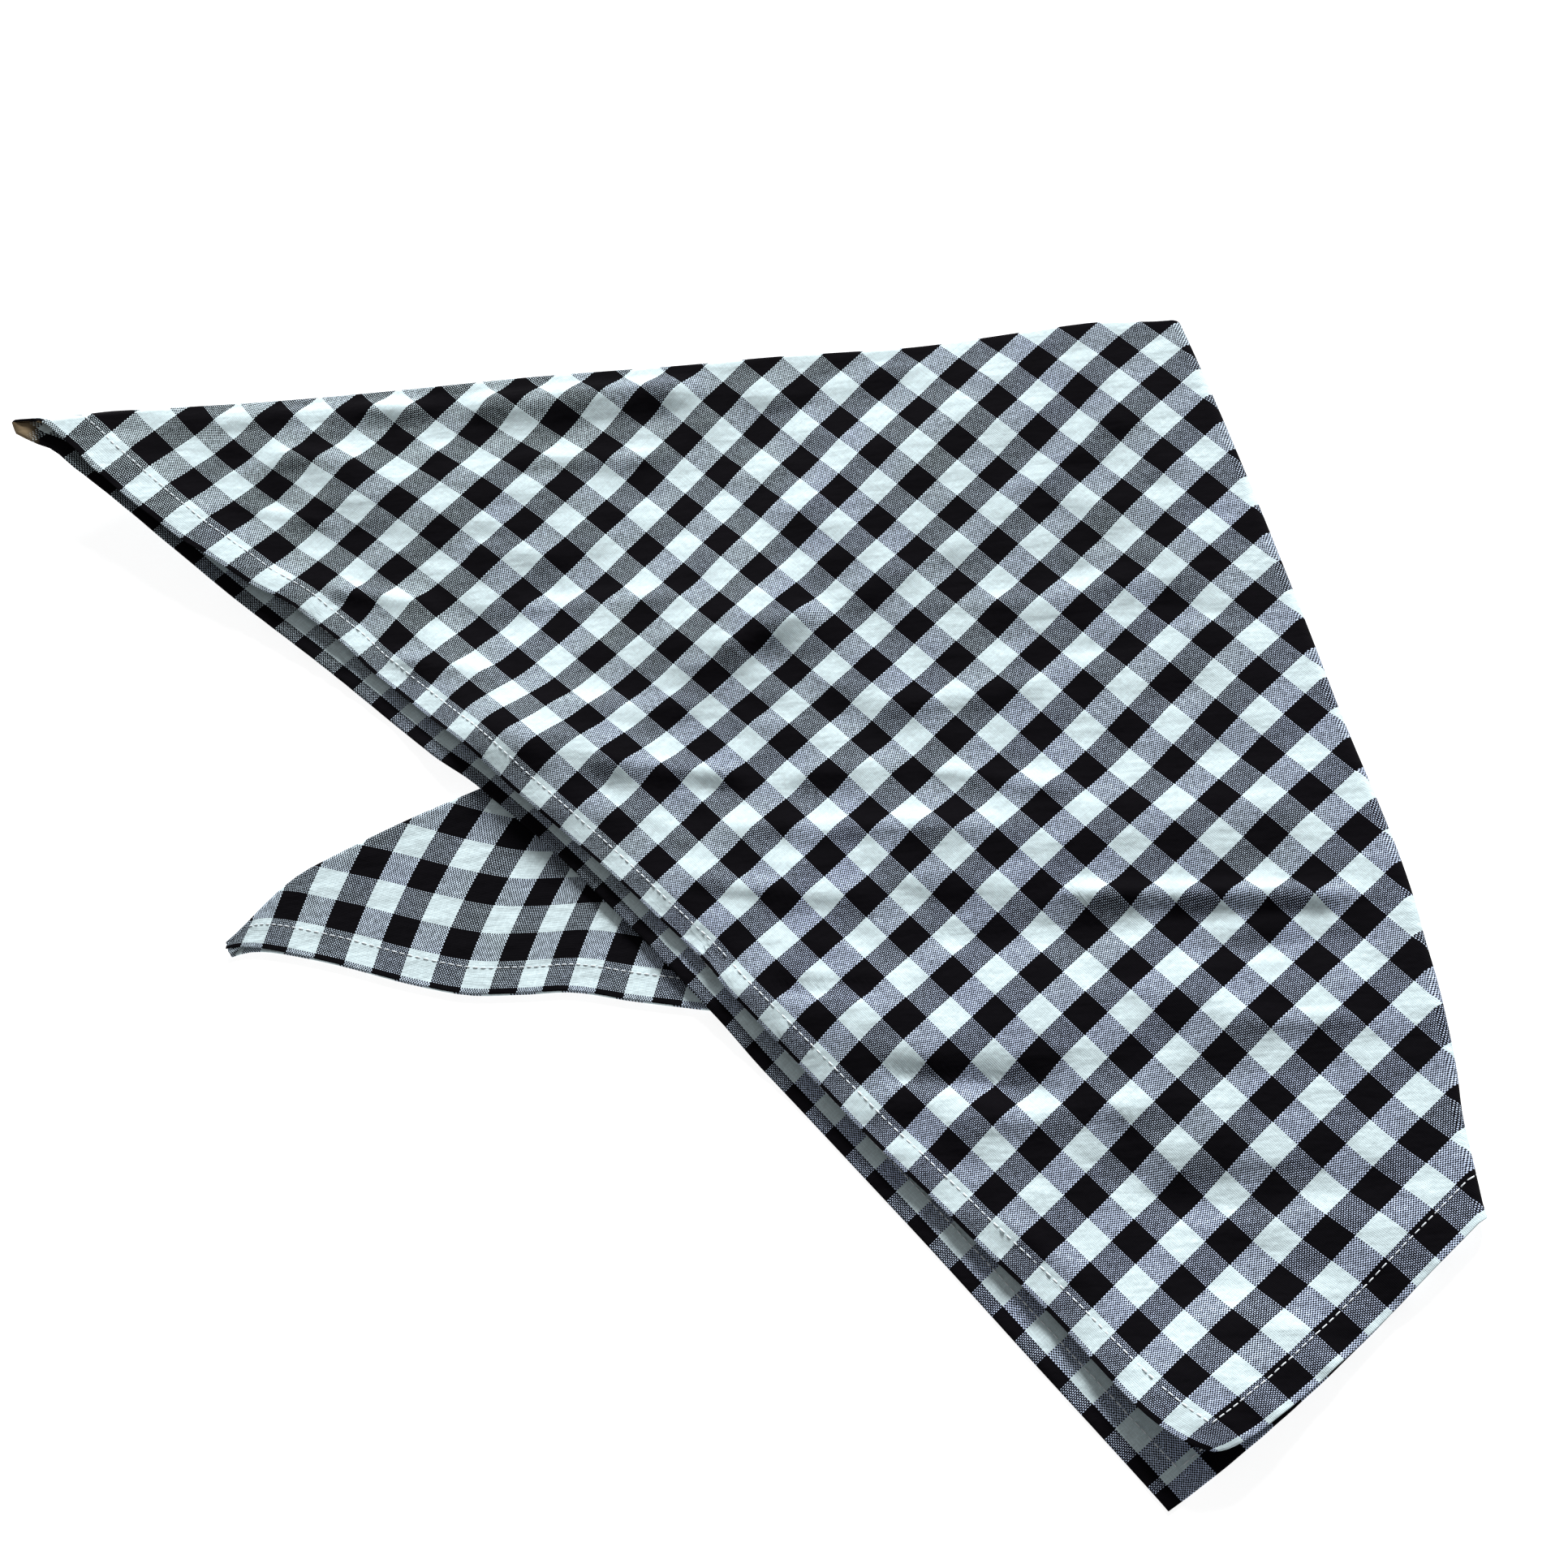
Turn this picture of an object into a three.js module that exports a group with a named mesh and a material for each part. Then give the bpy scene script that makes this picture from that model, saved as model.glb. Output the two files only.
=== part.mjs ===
// A square cotton neck scarf, folded corner to corner and then folded once more,
// with its right-hand part tucked underneath. Millimetres, +Z up, lying on the plane z = 0.
//
// The cloth is one hemmed square with corners A, C1, B and C2 in order round it.
// First fold: along the diagonal A-B, so that C2 lies under C1.
// Second fold: across both layers, from P on the first fold down to Q, so that B lies at the left.
// From the top the layers are: front upper (C1), front under (C2), back under, back upper (on the surface).
import * as THREE from 'three';

// The cut square, its hem, and the cloth's thickness as built
const SIDE = 550;
const HEM_WIDTH = 9.5;
const CLOTH = 1.0;
const HEM = 1.3;
const HEM_STEP = 2;

// Heights of the four layers' middles where they are pressed together at the second fold
const LEVEL = { backUpper: 0.5, backUnder: 2.2, frontUnder: 4.5, frontUpper: 6.2 };
const ON_SURFACE = LEVEL.backUpper;

// First fold: its line lies a little off the diagonal, and its roll is fuller away from P
const FOLD_OFF_DIAGONAL = 2.2;
const ROLL_HALF_WIDTH = 2.2;
const ROLL_RISE = 1.6;
const ROLL_FADE = 14;

// Plan of the front upper layer: where P lies, and the directions along and away from the first fold
const P = { x: 136.8, y: 168.2, along: 386 };
const ALONG = { x: 1.0035, y: -0.0378 };
const AWAY = { x: -0.0463, y: -0.9964 };

// Towards tip A the bias-cut point draws out to the left and swings down
const TIP_A = { from: 215, over: 185, x: -23.6, y: -4.5, spreadX: 1.5, spreadY: -6.6, spreadPer: 60 };
const TIP_A_LIFT = { height: 22, length: 150 };

// The under layer is skewed and stretched a little, so that its hem shows past the upper one
const UNDER = { skew: -0.027, stretch: 1.006, hollow: 4.6 };

// The upper layer's left hem stands in from the true square, and its right hem bows out past it
const LEFT_HEM_IN = 5.9;
const RIGHT_HEM_OUT = { ends: -1.5, middle: 2.0, span: 205 };
const HEM_FADE = 12;

// Corner C1 is curled and drawn in; at corner C2 the right hem is drawn in
const C1_IN = { depth: 8.5, fade: 13, from: 80 };
const C2_IN = { depth: 4.5, fade: 25 };

// Point A: the upper layer's end is bent in, and the under layer's end sticks out past it
const POINT_A = { fade: 22, upperX: 4.0, upperY: -4.0, underX: -4.5, underY: 3.0 };

// Second fold: direction from P to Q, its length, how far it bows out, and how far in it is drawn
const SECOND_FOLD = { degrees: -78.4, length: 316, bow: 7.2, drawnIn: 0.6 };

// How far the first fold stands out from its straight line, by distance along it from tip A
const FOLD_DRIFT = [
  { along: 0, out: 0 },
  { along: 45, out: 3.5 },
  { along: 130, out: 5.0 },
  { along: 230, out: 2.5 },
  { along: 310, out: -0.5 },
  { along: 386, out: -3.0 },
  { along: 470, out: -1.0 },
  { along: 640, out: -0.5 },
  { along: 700, out: 0 },
  { along: 778, out: 0 },
];
const DRIFT_FADE = 35;

// The layers folded under swing round P, and their point spreads
const BACK = { reach: 381, shearX: 0.21, shearY: 0.075, curlX: -74, curlY: -54.6 };
const TIP_B = { at: 300, width: 50, shiftY: -17.3, spreadY: -5.5, spreadPer: 60 };

// Plan outline of the tucked layers: down the second fold, along the hem to tip B, back up the first fold
const TUCKED_OUTLINE = [
  { name: 'P', x: 137, y: 168, rolled: true },
  { name: 'bow of the second fold', x: 175, y: 14, rolled: false },
  { name: 'Q', x: 199, y: -143, rolled: false },
  { name: 'right hem, near Q', x: 114, y: -94, rolled: false },
  { name: 'right hem, middle', x: 38, y: -62, rolled: false },
  { name: 'right hem, hollow', x: -3, y: -50, rolled: false },
  { name: 'right hem, bulge', x: -96, y: -52, rolled: false },
  { name: 'right hem, near B', x: -148, y: -35, rolled: false },
  { name: 'tip B', x: -192, y: -23, rolled: true },
  { name: 'first fold, near B', x: -154, y: -4, rolled: true },
  { name: 'first fold, arch', x: -110, y: 16, rolled: true },
  { name: 'first fold, middle', x: 2, y: 97, rolled: true },
];

// How the front layers come down from the tucked layers to the surface, and rise over their rolled edge
const STEP_DOWN = { clear: 9, width: 42 };
const OVER_ROLL = { rise: 1.2, width: 30 };

// Past the second fold, the layers take up their own heights and hems over this distance
const SETTLE = 28;

// Soft rises of the upper layer: centre in plan, reach along and across, direction, height
const RISES = [
  { name: 'corner C1', x: 118, y: -202, long: 42, wide: 30, degrees: 40, height: 7.0 },
  { name: 'left hem, lower', x: 40, y: -105, long: 110, wide: 26, degrees: -48, height: 3.2 },
  { name: 'left hem, middle', x: -92, y: 30, long: 60, wide: 24, degrees: -45, height: 4.0 },
  { name: 'left hem, upper', x: -205, y: 118, long: 50, wide: 18, degrees: -42, height: 3.0 },
  { name: 'bulge by the left hem', x: -18, y: 66, long: 26, wide: 16, degrees: 20, height: 3.4 },
  { name: 'ridge to the left hem', x: -70, y: 28, long: 34, wide: 11, degrees: -8, height: 2.6 },
  { name: 'wave near tip A', x: -170, y: 150, long: 46, wide: 16, degrees: -30, height: 2.0 },
  { name: 'wave at upper left', x: -110, y: 132, long: 60, wide: 18, degrees: -20, height: 1.6 },
  { name: 'ridge over the crease', x: 95, y: -18, long: 115, wide: 13, degrees: 0, height: 2.0 },
  { name: 'lower ridge', x: 110, y: -78, long: 90, wide: 16, degrees: -3, height: 1.4 },
  { name: 'right side swell', x: 150, y: 60, long: 70, wide: 26, degrees: -72, height: 1.5 },
];

// Rows from the first fold to the hem, and columns across the cloth; where it is narrow, the hem
// takes up these parts of its width
const ROWS = 17;
const ROLL_ROWS = [1 / 3, 2 / 3, 1];
const FRONT_COLUMNS = 31;
const BACK_COLUMNS = 25;
const ROLL_COLUMNS = 6;
const BLUNT_END = 4.0;
const NARROW = { band: 0.4, inner: 0.3 };

// Searches by halving, the step for slopes, and the height under which a point lies on the surface
const HALVINGS = 46;
const BEYOND = 60;
const SLOPE_STEP = 0.04;
const TOUCHES = 0.06;

const ROOT2 = Math.SQRT2;
const MIDDLE = (LEVEL.backUpper + LEVEL.frontUpper) / 2;
const OUTER = (LEVEL.frontUpper - LEVEL.backUpper) / 2;
const INNER = (LEVEL.frontUnder - LEVEL.backUnder) / 2;
const MEAN_TURN = (OUTER + INNER) / 2;
const PRESSED = (OUTER - INNER) / 2;

const clamp01 = (value) => Math.min(1, Math.max(0, value));
const ease = (value) => clamp01(value) ** 2 * (3 - 2 * clamp01(value));
const mix = (from, to, part) => from + (to - from) * part;
const bell = (value) => Math.exp(-value * value);

const turn = THREE.MathUtils.degToRad(SECOND_FOLD.degrees);
const DOWN = { x: Math.cos(turn), y: Math.sin(turn) };
const RIGHT = { x: -DOWN.y, y: DOWN.x };
const bowAt = (q) => {
  const part = clamp01(q / SECOND_FOLD.length);
  return SECOND_FOLD.bow * 4 * part * (1 - part);
};

function foldDrift(along) {
  const next = FOLD_DRIFT.findIndex((row) => row.along > along);
  if (next < 1) return 0;
  const from = FOLD_DRIFT[next - 1];
  const to = FOLD_DRIFT[next];
  return mix(from.out, to.out, ease((along - from.along) / (to.along - from.along)));
}

// Plan of a point before the second fold: along the first fold, and away from it
function frontPlan(along, away) {
  const near = Math.max(0, (TIP_A.from - along) / TIP_A.over) ** 2;
  const x = P.x + (along - P.along) * ALONG.x + away * AWAY.x;
  const y = P.y + (along - P.along) * ALONG.y + away * AWAY.y;
  return {
    x: x + near * (TIP_A.x + (TIP_A.spreadX * away) / TIP_A.spreadPer),
    y: y + near * (TIP_A.y + (TIP_A.spreadY * away) / TIP_A.spreadPer),
  };
}

// Distance before (+) or past (-) the second fold, and distance down along it
function toFold(plan) {
  const dx = plan.x - P.x;
  const dy = plan.y - P.y;
  const q = dx * DOWN.x + dy * DOWN.y;
  return { w: bowAt(q) - SECOND_FOLD.drawnIn - (dx * RIGHT.x + dy * RIGHT.y), q };
}

// Skewed plan coordinates of a point of the upper (side 1) or under (side -1) layer
function layerPlan(along, away, side) {
  if (side > 0) return { along, away };
  return { along: along + UNDER.skew * away, away: UNDER.stretch * away };
}

function foldCoordinates(along, distance, side) {
  const away = Math.max(0, distance - ROLL_HALF_WIDTH);
  const skewed = layerPlan(along, away, side);
  return toFold(frontPlan(skewed.along, skewed.away));
}

// Where along the first fold a point must lie, so that it is w before the second fold
function alongFor(w, distance, side) {
  let low = -BEYOND;
  let high = SIDE * ROOT2 + BEYOND;
  for (let step = 0; step < HALVINGS; step += 1) {
    const tried = (low + high) / 2;
    if (foldCoordinates(tried, distance, side).w > w) low = tried;
    else high = tried;
  }
  return (low + high) / 2;
}

// Distances of a cloth point from the hems beside it; side 1 is the upper layer
function hemDistances(along, distance, side) {
  const across = side * distance + FOLD_OFF_DIAGONAL;
  const u = (along + across) / ROOT2;
  const v = (along - across) / ROOT2;
  return side > 0 ? { left: v, right: SIDE - u } : { left: u, right: SIDE - v };
}

function hemReach(w, side) {
  let low = 0;
  let high = SIDE;
  for (let step = 0; step < HALVINGS; step += 1) {
    const tried = (low + high) / 2;
    const { left, right } = hemDistances(alongFor(w, tried, side), tried, side);
    if (Math.min(left, right) > 0) low = tried;
    else high = tried;
  }
  return (low + high) / 2;
}

// Distance in plan from a point to the tucked layers (0 above them), and to their rolled edge
function tuckedDistances(plan) {
  let nearest = Infinity;
  let roll = Infinity;
  let inside = false;
  TUCKED_OUTLINE.forEach((from, number) => {
    const to = TUCKED_OUTLINE[(number + 1) % TUCKED_OUTLINE.length];
    const dx = to.x - from.x;
    const dy = to.y - from.y;
    const part = clamp01(((plan.x - from.x) * dx + (plan.y - from.y) * dy) / (dx * dx + dy * dy));
    const distance = Math.hypot(plan.x - from.x - part * dx, plan.y - from.y - part * dy);
    nearest = Math.min(nearest, distance);
    if (from.rolled && to.rolled) roll = Math.min(roll, distance);
    const crosses = (from.y > plan.y) !== (to.y > plan.y);
    if (crosses && plan.x < from.x + (dx * (plan.y - from.y)) / dy) inside = !inside;
  });
  return { off: inside ? 0 : nearest, roll };
}

function underSupport(plan) {
  const { off, roll } = tuckedDistances(plan);
  const over = 1 - ease((off - STEP_DOWN.clear) / STEP_DOWN.width);
  return mix(ON_SURFACE, LEVEL.frontUnder + OVER_ROLL.rise * bell(roll / OVER_ROLL.width), over);
}

function upperRise(plan) {
  let rise = 0;
  for (const bump of RISES) {
    const angle = THREE.MathUtils.degToRad(bump.degrees);
    const dx = plan.x - bump.x;
    const dy = plan.y - bump.y;
    const long = (dx * Math.cos(angle) + dy * Math.sin(angle)) / bump.long;
    const wide = (dy * Math.cos(angle) - dx * Math.sin(angle)) / bump.wide;
    rise += bump.height * Math.exp(-long * long - wide * wide);
  }
  return rise;
}

// Half the distance between the two layers of a pair: pressed at the second fold, fuller at the first
function halfGap(fromSecond, away) {
  const full = PRESSED + (ROLL_RISE - PRESSED) * Math.exp(-away / ROLL_FADE);
  return mix(PRESSED, full, ease((fromSecond - OUTER) / SETTLE));
}

function thickness(along, distance, side) {
  const { left, right } = hemDistances(along, distance, side);
  const inside = Math.min(left, right);
  return mix(HEM, CLOTH, ease((inside - HEM_WIDTH) / HEM_STEP));
}

// How far the hems and corners of the front layers stand in from the true square, or out past it
function hemShift(hems, away, side, w) {
  const here = ease(w / SETTLE);
  const fromLeft = Math.max(0, hems.left);
  const fromRight = Math.max(0, hems.right);
  let leftIn = 0;
  let rightIn = 0;
  let inward = 0;
  if (side > 0) {
    const lengthwise = Math.sin(Math.PI * clamp01((SIDE - hems.right) / SIDE));
    const middle = Math.sin(Math.PI * clamp01(hems.left / RIGHT_HEM_OUT.span));
    leftIn = LEFT_HEM_IN * lengthwise * Math.exp(-fromLeft / HEM_FADE);
    rightIn = -mix(RIGHT_HEM_OUT.ends, RIGHT_HEM_OUT.middle, middle) * Math.exp(-fromRight / HEM_FADE);
    inward = C1_IN.depth * Math.exp(-Math.hypot(fromLeft, fromRight) / C1_IN.fade) * ease(away / C1_IN.from);
  } else {
    const part = clamp01(away / (SIDE / ROOT2));
    leftIn = UNDER.hollow * 4 * part * (1 - part);
    rightIn = C2_IN.depth * Math.exp(-fromLeft / C2_IN.fade - fromRight / HEM_FADE);
  }
  const along = (leftIn - rightIn) / ROOT2;
  inward += (leftIn + rightIn) / ROOT2;
  return {
    x: here * (along * ALONG.x - inward * AWAY.x),
    y: here * (along * ALONG.y - inward * AWAY.y),
  };
}

// The middle of the cloth, for a point by its place along the first fold and its distance from it
function place(along, distance, side) {
  const angle = (Math.PI / 2) * Math.min(1, distance / ROLL_HALF_WIDTH);
  const level = side * Math.sin(angle);
  const away = Math.max(0, distance - ROLL_HALF_WIDTH);
  const skewed = layerPlan(along, away, side);
  const flat = toFold(frontPlan(skewed.along, skewed.away));
  const drift = foldDrift(along) * Math.exp(-away / DRIFT_FADE);
  const bulge = Math.cos(angle) * halfGap(Math.abs(flat.w), 0) + drift;
  const { w, q } = toFold(frontPlan(skewed.along, skewed.away - bulge));

  const turning = Math.abs(w) < OUTER;
  const swing = (Math.PI / 2) * (w / OUTER);
  const radius = MEAN_TURN + PRESSED * level;
  const edge = bowAt(q) - SECOND_FOLD.drawnIn;
  const outward = edge - (turning ? OUTER - radius * Math.cos(swing) : Math.abs(w));
  const plan = {
    x: P.x + DOWN.x * q + RIGHT.x * outward,
    y: P.y + DOWN.y * q + RIGHT.y * outward,
  };

  let z = MIDDLE + radius * Math.sin(swing);
  const hems = hemDistances(along, distance, side);
  if (w >= OUTER) {
    const gap = halfGap(w, away);
    const under = mix(LEVEL.frontUnder, underSupport(plan), ease((w - OUTER) / SETTLE));
    z = under + (level + 1) * gap;
    const atPoint = Math.exp(-Math.max(0, along) / POINT_A.fade);
    const upper = ease((level + 1) / 2);
    plan.x += atPoint * mix(POINT_A.underX, POINT_A.upperX, upper);
    plan.y += atPoint * mix(POINT_A.underY, POINT_A.upperY, upper);
    z += TIP_A_LIFT.height * clamp01((TIP_A_LIFT.length - along) / TIP_A_LIFT.length) ** 2;
    z += upperRise(plan) * upper * ease((w - OUTER) / SETTLE);
  } else if (w <= -OUTER) {
    const past = -w - OUTER;
    const far = (past / BACK.reach) ** 3;
    const tip = bell((past - TIP_B.at) / TIP_B.width);
    plan.x += BACK.shearX * past + BACK.curlX * far;
    plan.y += BACK.shearY * past + BACK.curlY * far;
    plan.y += tip * (TIP_B.shiftY + (TIP_B.spreadY * away) / TIP_B.spreadPer);
    z = thickness(along, distance, 1) / 2 + (1 - level) * halfGap(-w, away);
  }

  const shift = hemShift(hems, away, side, w);
  return new THREE.Vector3(plan.x + shift.x, plan.y + shift.y, z);
}

function normalAt(along, distance, side) {
  const before = place(along - SLOPE_STEP, distance, side);
  const after = place(along + SLOPE_STEP, distance, side);
  const forward = (step) => {
    const signed = side * distance + step;
    return place(along, Math.abs(signed), signed >= 0 ? 1 : -1);
  };
  const across = forward(SLOPE_STEP).sub(forward(-SLOPE_STEP));
  return new THREE.Vector3().crossVectors(across, after.sub(before)).normalize();
}

// Signed distances of the rows from the first fold, in one column
function rowsOf(w) {
  const rows = [];
  for (const side of [-1, 1]) {
    const reach = hemReach(w, side);
    const roll = Math.min(ROLL_HALF_WIDTH, reach / 2);
    const band = Math.min((HEM_WIDTH + HEM_STEP) * ROOT2, (reach - roll) * NARROW.band);
    const inner = Math.min(HEM_WIDTH * ROOT2, (reach - roll) * NARROW.inner);
    const list = ROLL_ROWS.map((part) => part * roll);
    for (let row = 1; row <= ROWS; row += 1) {
      list.push(roll + ((reach - band - roll) * row) / ROWS);
    }
    list.push(reach - inner, reach);
    if (side < 0) rows.push(...list.reverse().map((distance) => -distance), 0);
    else rows.push(...list);
  }
  return rows;
}

// Columns: distances before or past the second fold, from tip A to tip B
function columns() {
  const endA = foldCoordinates(0, 0, 1).w;
  const endB = foldCoordinates(SIDE * ROOT2, 0, 1).w;
  const list = [];
  for (let column = 0; column < FRONT_COLUMNS; column += 1) {
    list.push(mix(endA - BLUNT_END, OUTER, column / FRONT_COLUMNS));
  }
  for (let column = 0; column <= ROLL_COLUMNS; column += 1) {
    list.push(mix(OUTER, -OUTER, column / ROLL_COLUMNS));
  }
  for (let column = 1; column <= BACK_COLUMNS; column += 1) {
    list.push(mix(-OUTER, endB + BLUNT_END, column / BACK_COLUMNS));
  }
  return list;
}

// The closed solid: the right side, the wrong side, and the cut edge all round
function clothGeometry() {
  const grid = columns().map((w) => rowsOf(w).map((signed) => {
    const side = signed >= 0 ? 1 : -1;
    const distance = Math.abs(signed);
    const along = alongFor(w, distance, side);
    const middle = place(along, distance, side);
    const half = thickness(along, distance, side) / 2;
    const normal = normalAt(along, distance, side).multiplyScalar(half);
    return [middle.clone().add(normal), middle.clone().sub(normal)];
  }));
  const wide = grid.length;
  const tall = grid[0].length;
  const points = [];
  for (const face of [0, 1]) {
    for (const column of grid) {
      for (const pair of column) {
        const point = pair[face];
        if (point.z < TOUCHES) point.z = 0;
        points.push(point.x, point.y, point.z);
      }
    }
  }
  const right = (column, row) => column * tall + row;
  const wrong = (column, row) => wide * tall + column * tall + row;
  const index = [];
  const quad = (a, b, c, d) => index.push(a, b, c, a, c, d);
  const last = { column: wide - 1, row: tall - 1 };
  for (let column = 0; column < last.column; column += 1) {
    const next = column + 1;
    for (let row = 0; row < last.row; row += 1) {
      quad(right(column, row), right(column, row + 1), right(next, row + 1), right(next, row));
      quad(wrong(column, row), wrong(next, row), wrong(next, row + 1), wrong(column, row + 1));
    }
    quad(right(column, 0), right(next, 0), wrong(next, 0), wrong(column, 0));
    quad(right(next, last.row), right(column, last.row), wrong(column, last.row), wrong(next, last.row));
  }
  for (let row = 0; row < last.row; row += 1) {
    quad(right(0, row + 1), right(0, row), wrong(0, row), wrong(0, row + 1));
    const far = last.column;
    quad(right(far, row), right(far, row + 1), wrong(far, row + 1), wrong(far, row));
  }
  const geometry = new THREE.BufferGeometry();
  geometry.setAttribute('position', new THREE.Float32BufferAttribute(points, 3));
  geometry.setIndex(index);
  geometry.computeVertexNormals();
  return geometry;
}

const cotton = new THREE.MeshStandardMaterial({ color: 0x8d9094, roughness: 0.92, metalness: 0 });
const cloth = new THREE.Mesh(clothGeometry(), cotton);
cloth.name = 'scarf_cloth';

// The origin is under the middle of the folded scarf, on the surface it lies on
cloth.geometry.computeBoundingBox();
const middle = cloth.geometry.boundingBox.getCenter(new THREE.Vector3());
cloth.position.set(-middle.x, -middle.y, 0);

const scarf = new THREE.Group();
scarf.add(cloth);

export default scarf;
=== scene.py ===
"""A square cotton neck scarf in small black and white checks, folded corner to corner and then
folded once more with its right-hand part tucked underneath. Sizes are millimetres up to the last
step, and the frame is metres, with its origin under the middle of the folded scarf."""

import math

import bpy
import numpy as np
from mathutils import Matrix, Vector


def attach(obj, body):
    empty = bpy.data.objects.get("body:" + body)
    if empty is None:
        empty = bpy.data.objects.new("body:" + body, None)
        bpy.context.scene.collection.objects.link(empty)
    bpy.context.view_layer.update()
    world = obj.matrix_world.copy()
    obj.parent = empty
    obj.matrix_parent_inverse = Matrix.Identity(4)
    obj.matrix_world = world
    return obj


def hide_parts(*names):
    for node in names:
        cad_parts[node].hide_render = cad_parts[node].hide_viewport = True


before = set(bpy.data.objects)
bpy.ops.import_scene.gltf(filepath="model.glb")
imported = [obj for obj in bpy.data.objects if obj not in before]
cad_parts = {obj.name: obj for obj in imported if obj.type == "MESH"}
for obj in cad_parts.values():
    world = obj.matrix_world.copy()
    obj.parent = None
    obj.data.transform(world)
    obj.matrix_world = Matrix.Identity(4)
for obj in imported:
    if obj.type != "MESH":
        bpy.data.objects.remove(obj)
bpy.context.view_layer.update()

MM = 0.001
ROOT2 = math.sqrt(2.0)

# Where the middle of the folded scarf lies, in the frame that the folds are laid out in
CENTRE = (-40.779, -14.932)

# The square, its hem, the real cloth's thickness, and how much the turned hem adds to it
SIDE = 550.0
HEM_WIDTH = 9.5
CLOTH = 0.36
FLAP = 0.62
FLAP_STEP = 0.5
EDGE_ROUND = 0.45

# Checks: how many along each side, yarns in each, and where the first black stripe starts
CHECKS_U = 56.8
CHECKS_V = 57.35
YARNS_U = 24
YARNS_V = 18
BLACK_FROM_U = -0.4
BLACK_FROM_V = 1.17

# Heights of the four layers' middles at the second fold
BACK_UPPER = 0.5
BACK_UNDER = 2.2
FRONT_UNDER = 4.5
FRONT_UPPER = 6.2
ON_SURFACE = 0.25

# First fold
FOLD_OFF_DIAGONAL = 2.2
ROLL_HALF_WIDTH = 2.2
ROLL_RISE = 1.6
ROLL_FADE = 14.0

# How far the first fold stands out from its straight line: along it from tip A, out
FOLD_DRIFT = (
    (0, 2.0), (45, 4.3), (130, 5.2), (230, 1.9), (310, -1.0), (386, -2.2),
    (470, -0.6), (640, -0.5), (700, -0.4), (740, -2.2), (778, -2.2),
)
DRIFT_FADE = 35.0
TIP_DRAWN_IN = {"by": 9.5, "over": 42, "fade": 12}

# Plan of the front upper layer: where P lies, and the directions along and away from the first fold
P_X, P_Y, P_ALONG = 136.8, 168.2, 386.0
ALONG = (1.0035, -0.0378)
AWAY = (-0.0463, -0.9964)

# Towards tip A the bias-cut point draws out to the left, swings down and lifts
TIP_A = {"from": 215, "over": 185, "x": -23.6, "y": -4.5, "spread_x": 1.5, "spread_y": -6.6, "per": 60}
TIP_A_LIFT = {"height": 22, "length": 150}
POINT_A = {"fade": 17, "upper_x": 4.0, "upper_y": -3.0, "under_x": -12.0, "under_y": 2.4}

# The under layer is skewed and stretched a little
UNDER_SKEW = -0.027
UNDER_STRETCH = 1.006
UNDER_HOLLOW = 4.6

# All of the front lies this much further from the first fold than the flat square would
FRONT_OUT = {"by": 2.1, "over": 55}

# The uneven left hem of each front layer: along it from tip A, out
UPPER_HEM = (
    (0, 0), (10, 0), (20, 0.4), (31, 2), (50, 2.5), (72, 2.2), (85, 1), (100, 0.2), (121, -3),
    (142, -2.8), (161, -1), (202, 0), (239, 1.4), (298, 0.4), (326, -0.3), (342, 1.2), (376, 1.5),
    (404, 1.8), (443, 0.8), (482, -0.4), (522, 0.8), (550, -0.8),
)
UNDER_HEM = (
    (0, 0.5), (9, -0.4), (17, -2.3), (26, -1.2), (36, -0.9), (48, -0.6), (64, -0.2), (99, 0.6),
    (142, 0.2), (198, 0.7), (220, -1), (251, -1.6), (299, -1.2), (341, -0.8), (365, 0), (428, 0.2),
    (500, 0.8), (550, 0.8),
)
WAVE_FADE = 26.0

# Hems and corners that stand in from the true square, or out past it
LEFT_HEM_IN = 5.9
RIGHT_HEM_OUT = {"ends": -1.5, "middle": -0.1, "span": 205}
UNDER_RIGHT_OUT = {"by": 1.2, "from": 60.0}
HEM_FADE = 12.0
C1_IN = {"depth": 8.5, "fade": 13, "from": 80}
C2_IN = {"depth": 4.5, "fade": 25}

# Second fold: its direction and length, how far it bows out, and how far in it is drawn
FOLD2_DEGREES = -78.4
FOLD2_LENGTH = 316.0
FOLD2_BOW = 7.2
FOLD2_IN = 0.6

# How much fuller the second fold is low down: down along it, out
FOLD2_FULL = (
    (0, 0), (120, 0), (165, 1.0), (190, 2.7), (207, 3.8), (222, 4.2), (236, 3.9),
    (250, 3.9), (264, 3.3), (277, 2.4), (290, 0.8), (303, 0.5), (320, 0.2),
)

# Below this place the second fold goes on as it is there
FOLD2_FULL_END = 319.9

# The layers folded under swing round P, and their point spreads
BACK = {"reach": 381, "shear_x": 0.21, "shear_y": 0.075, "curl_x": -74, "curl_y": -54.6}
TIP_B = {"at": 300, "width": 50, "shift_y": -17.3, "spread_y": -5.5, "per": 60}

# Where the hem of the tucked part's bare tip runs: from the tip along it, x, y
TIP_HEM = (
    (0, -197.2, -20.7),
    (12, -187.1, -25),
    (31, -169.1, -32),
    (50, -148.2, -39.2),
    (70, -127.5, -46.8),
    (89, -106.8, -52.8),
    (108, -88, -54.4),
    (128, -70.2, -55.2),
    (147, -52, -59.6),
    (166, -33.2, -63.6),
    (260, 56, -80),
)

# How the cloth goes inward from that hem, and where this shape gives way to the plain fold
TIP_INWARD = {"x": 0.22, "bend_x": 0.0035, "y": 0.96, "edge": 1.6, "lower_out": -1.5, "fade": 40.0}
TIP_BLEND = {"from": 135, "over": 130}

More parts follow.
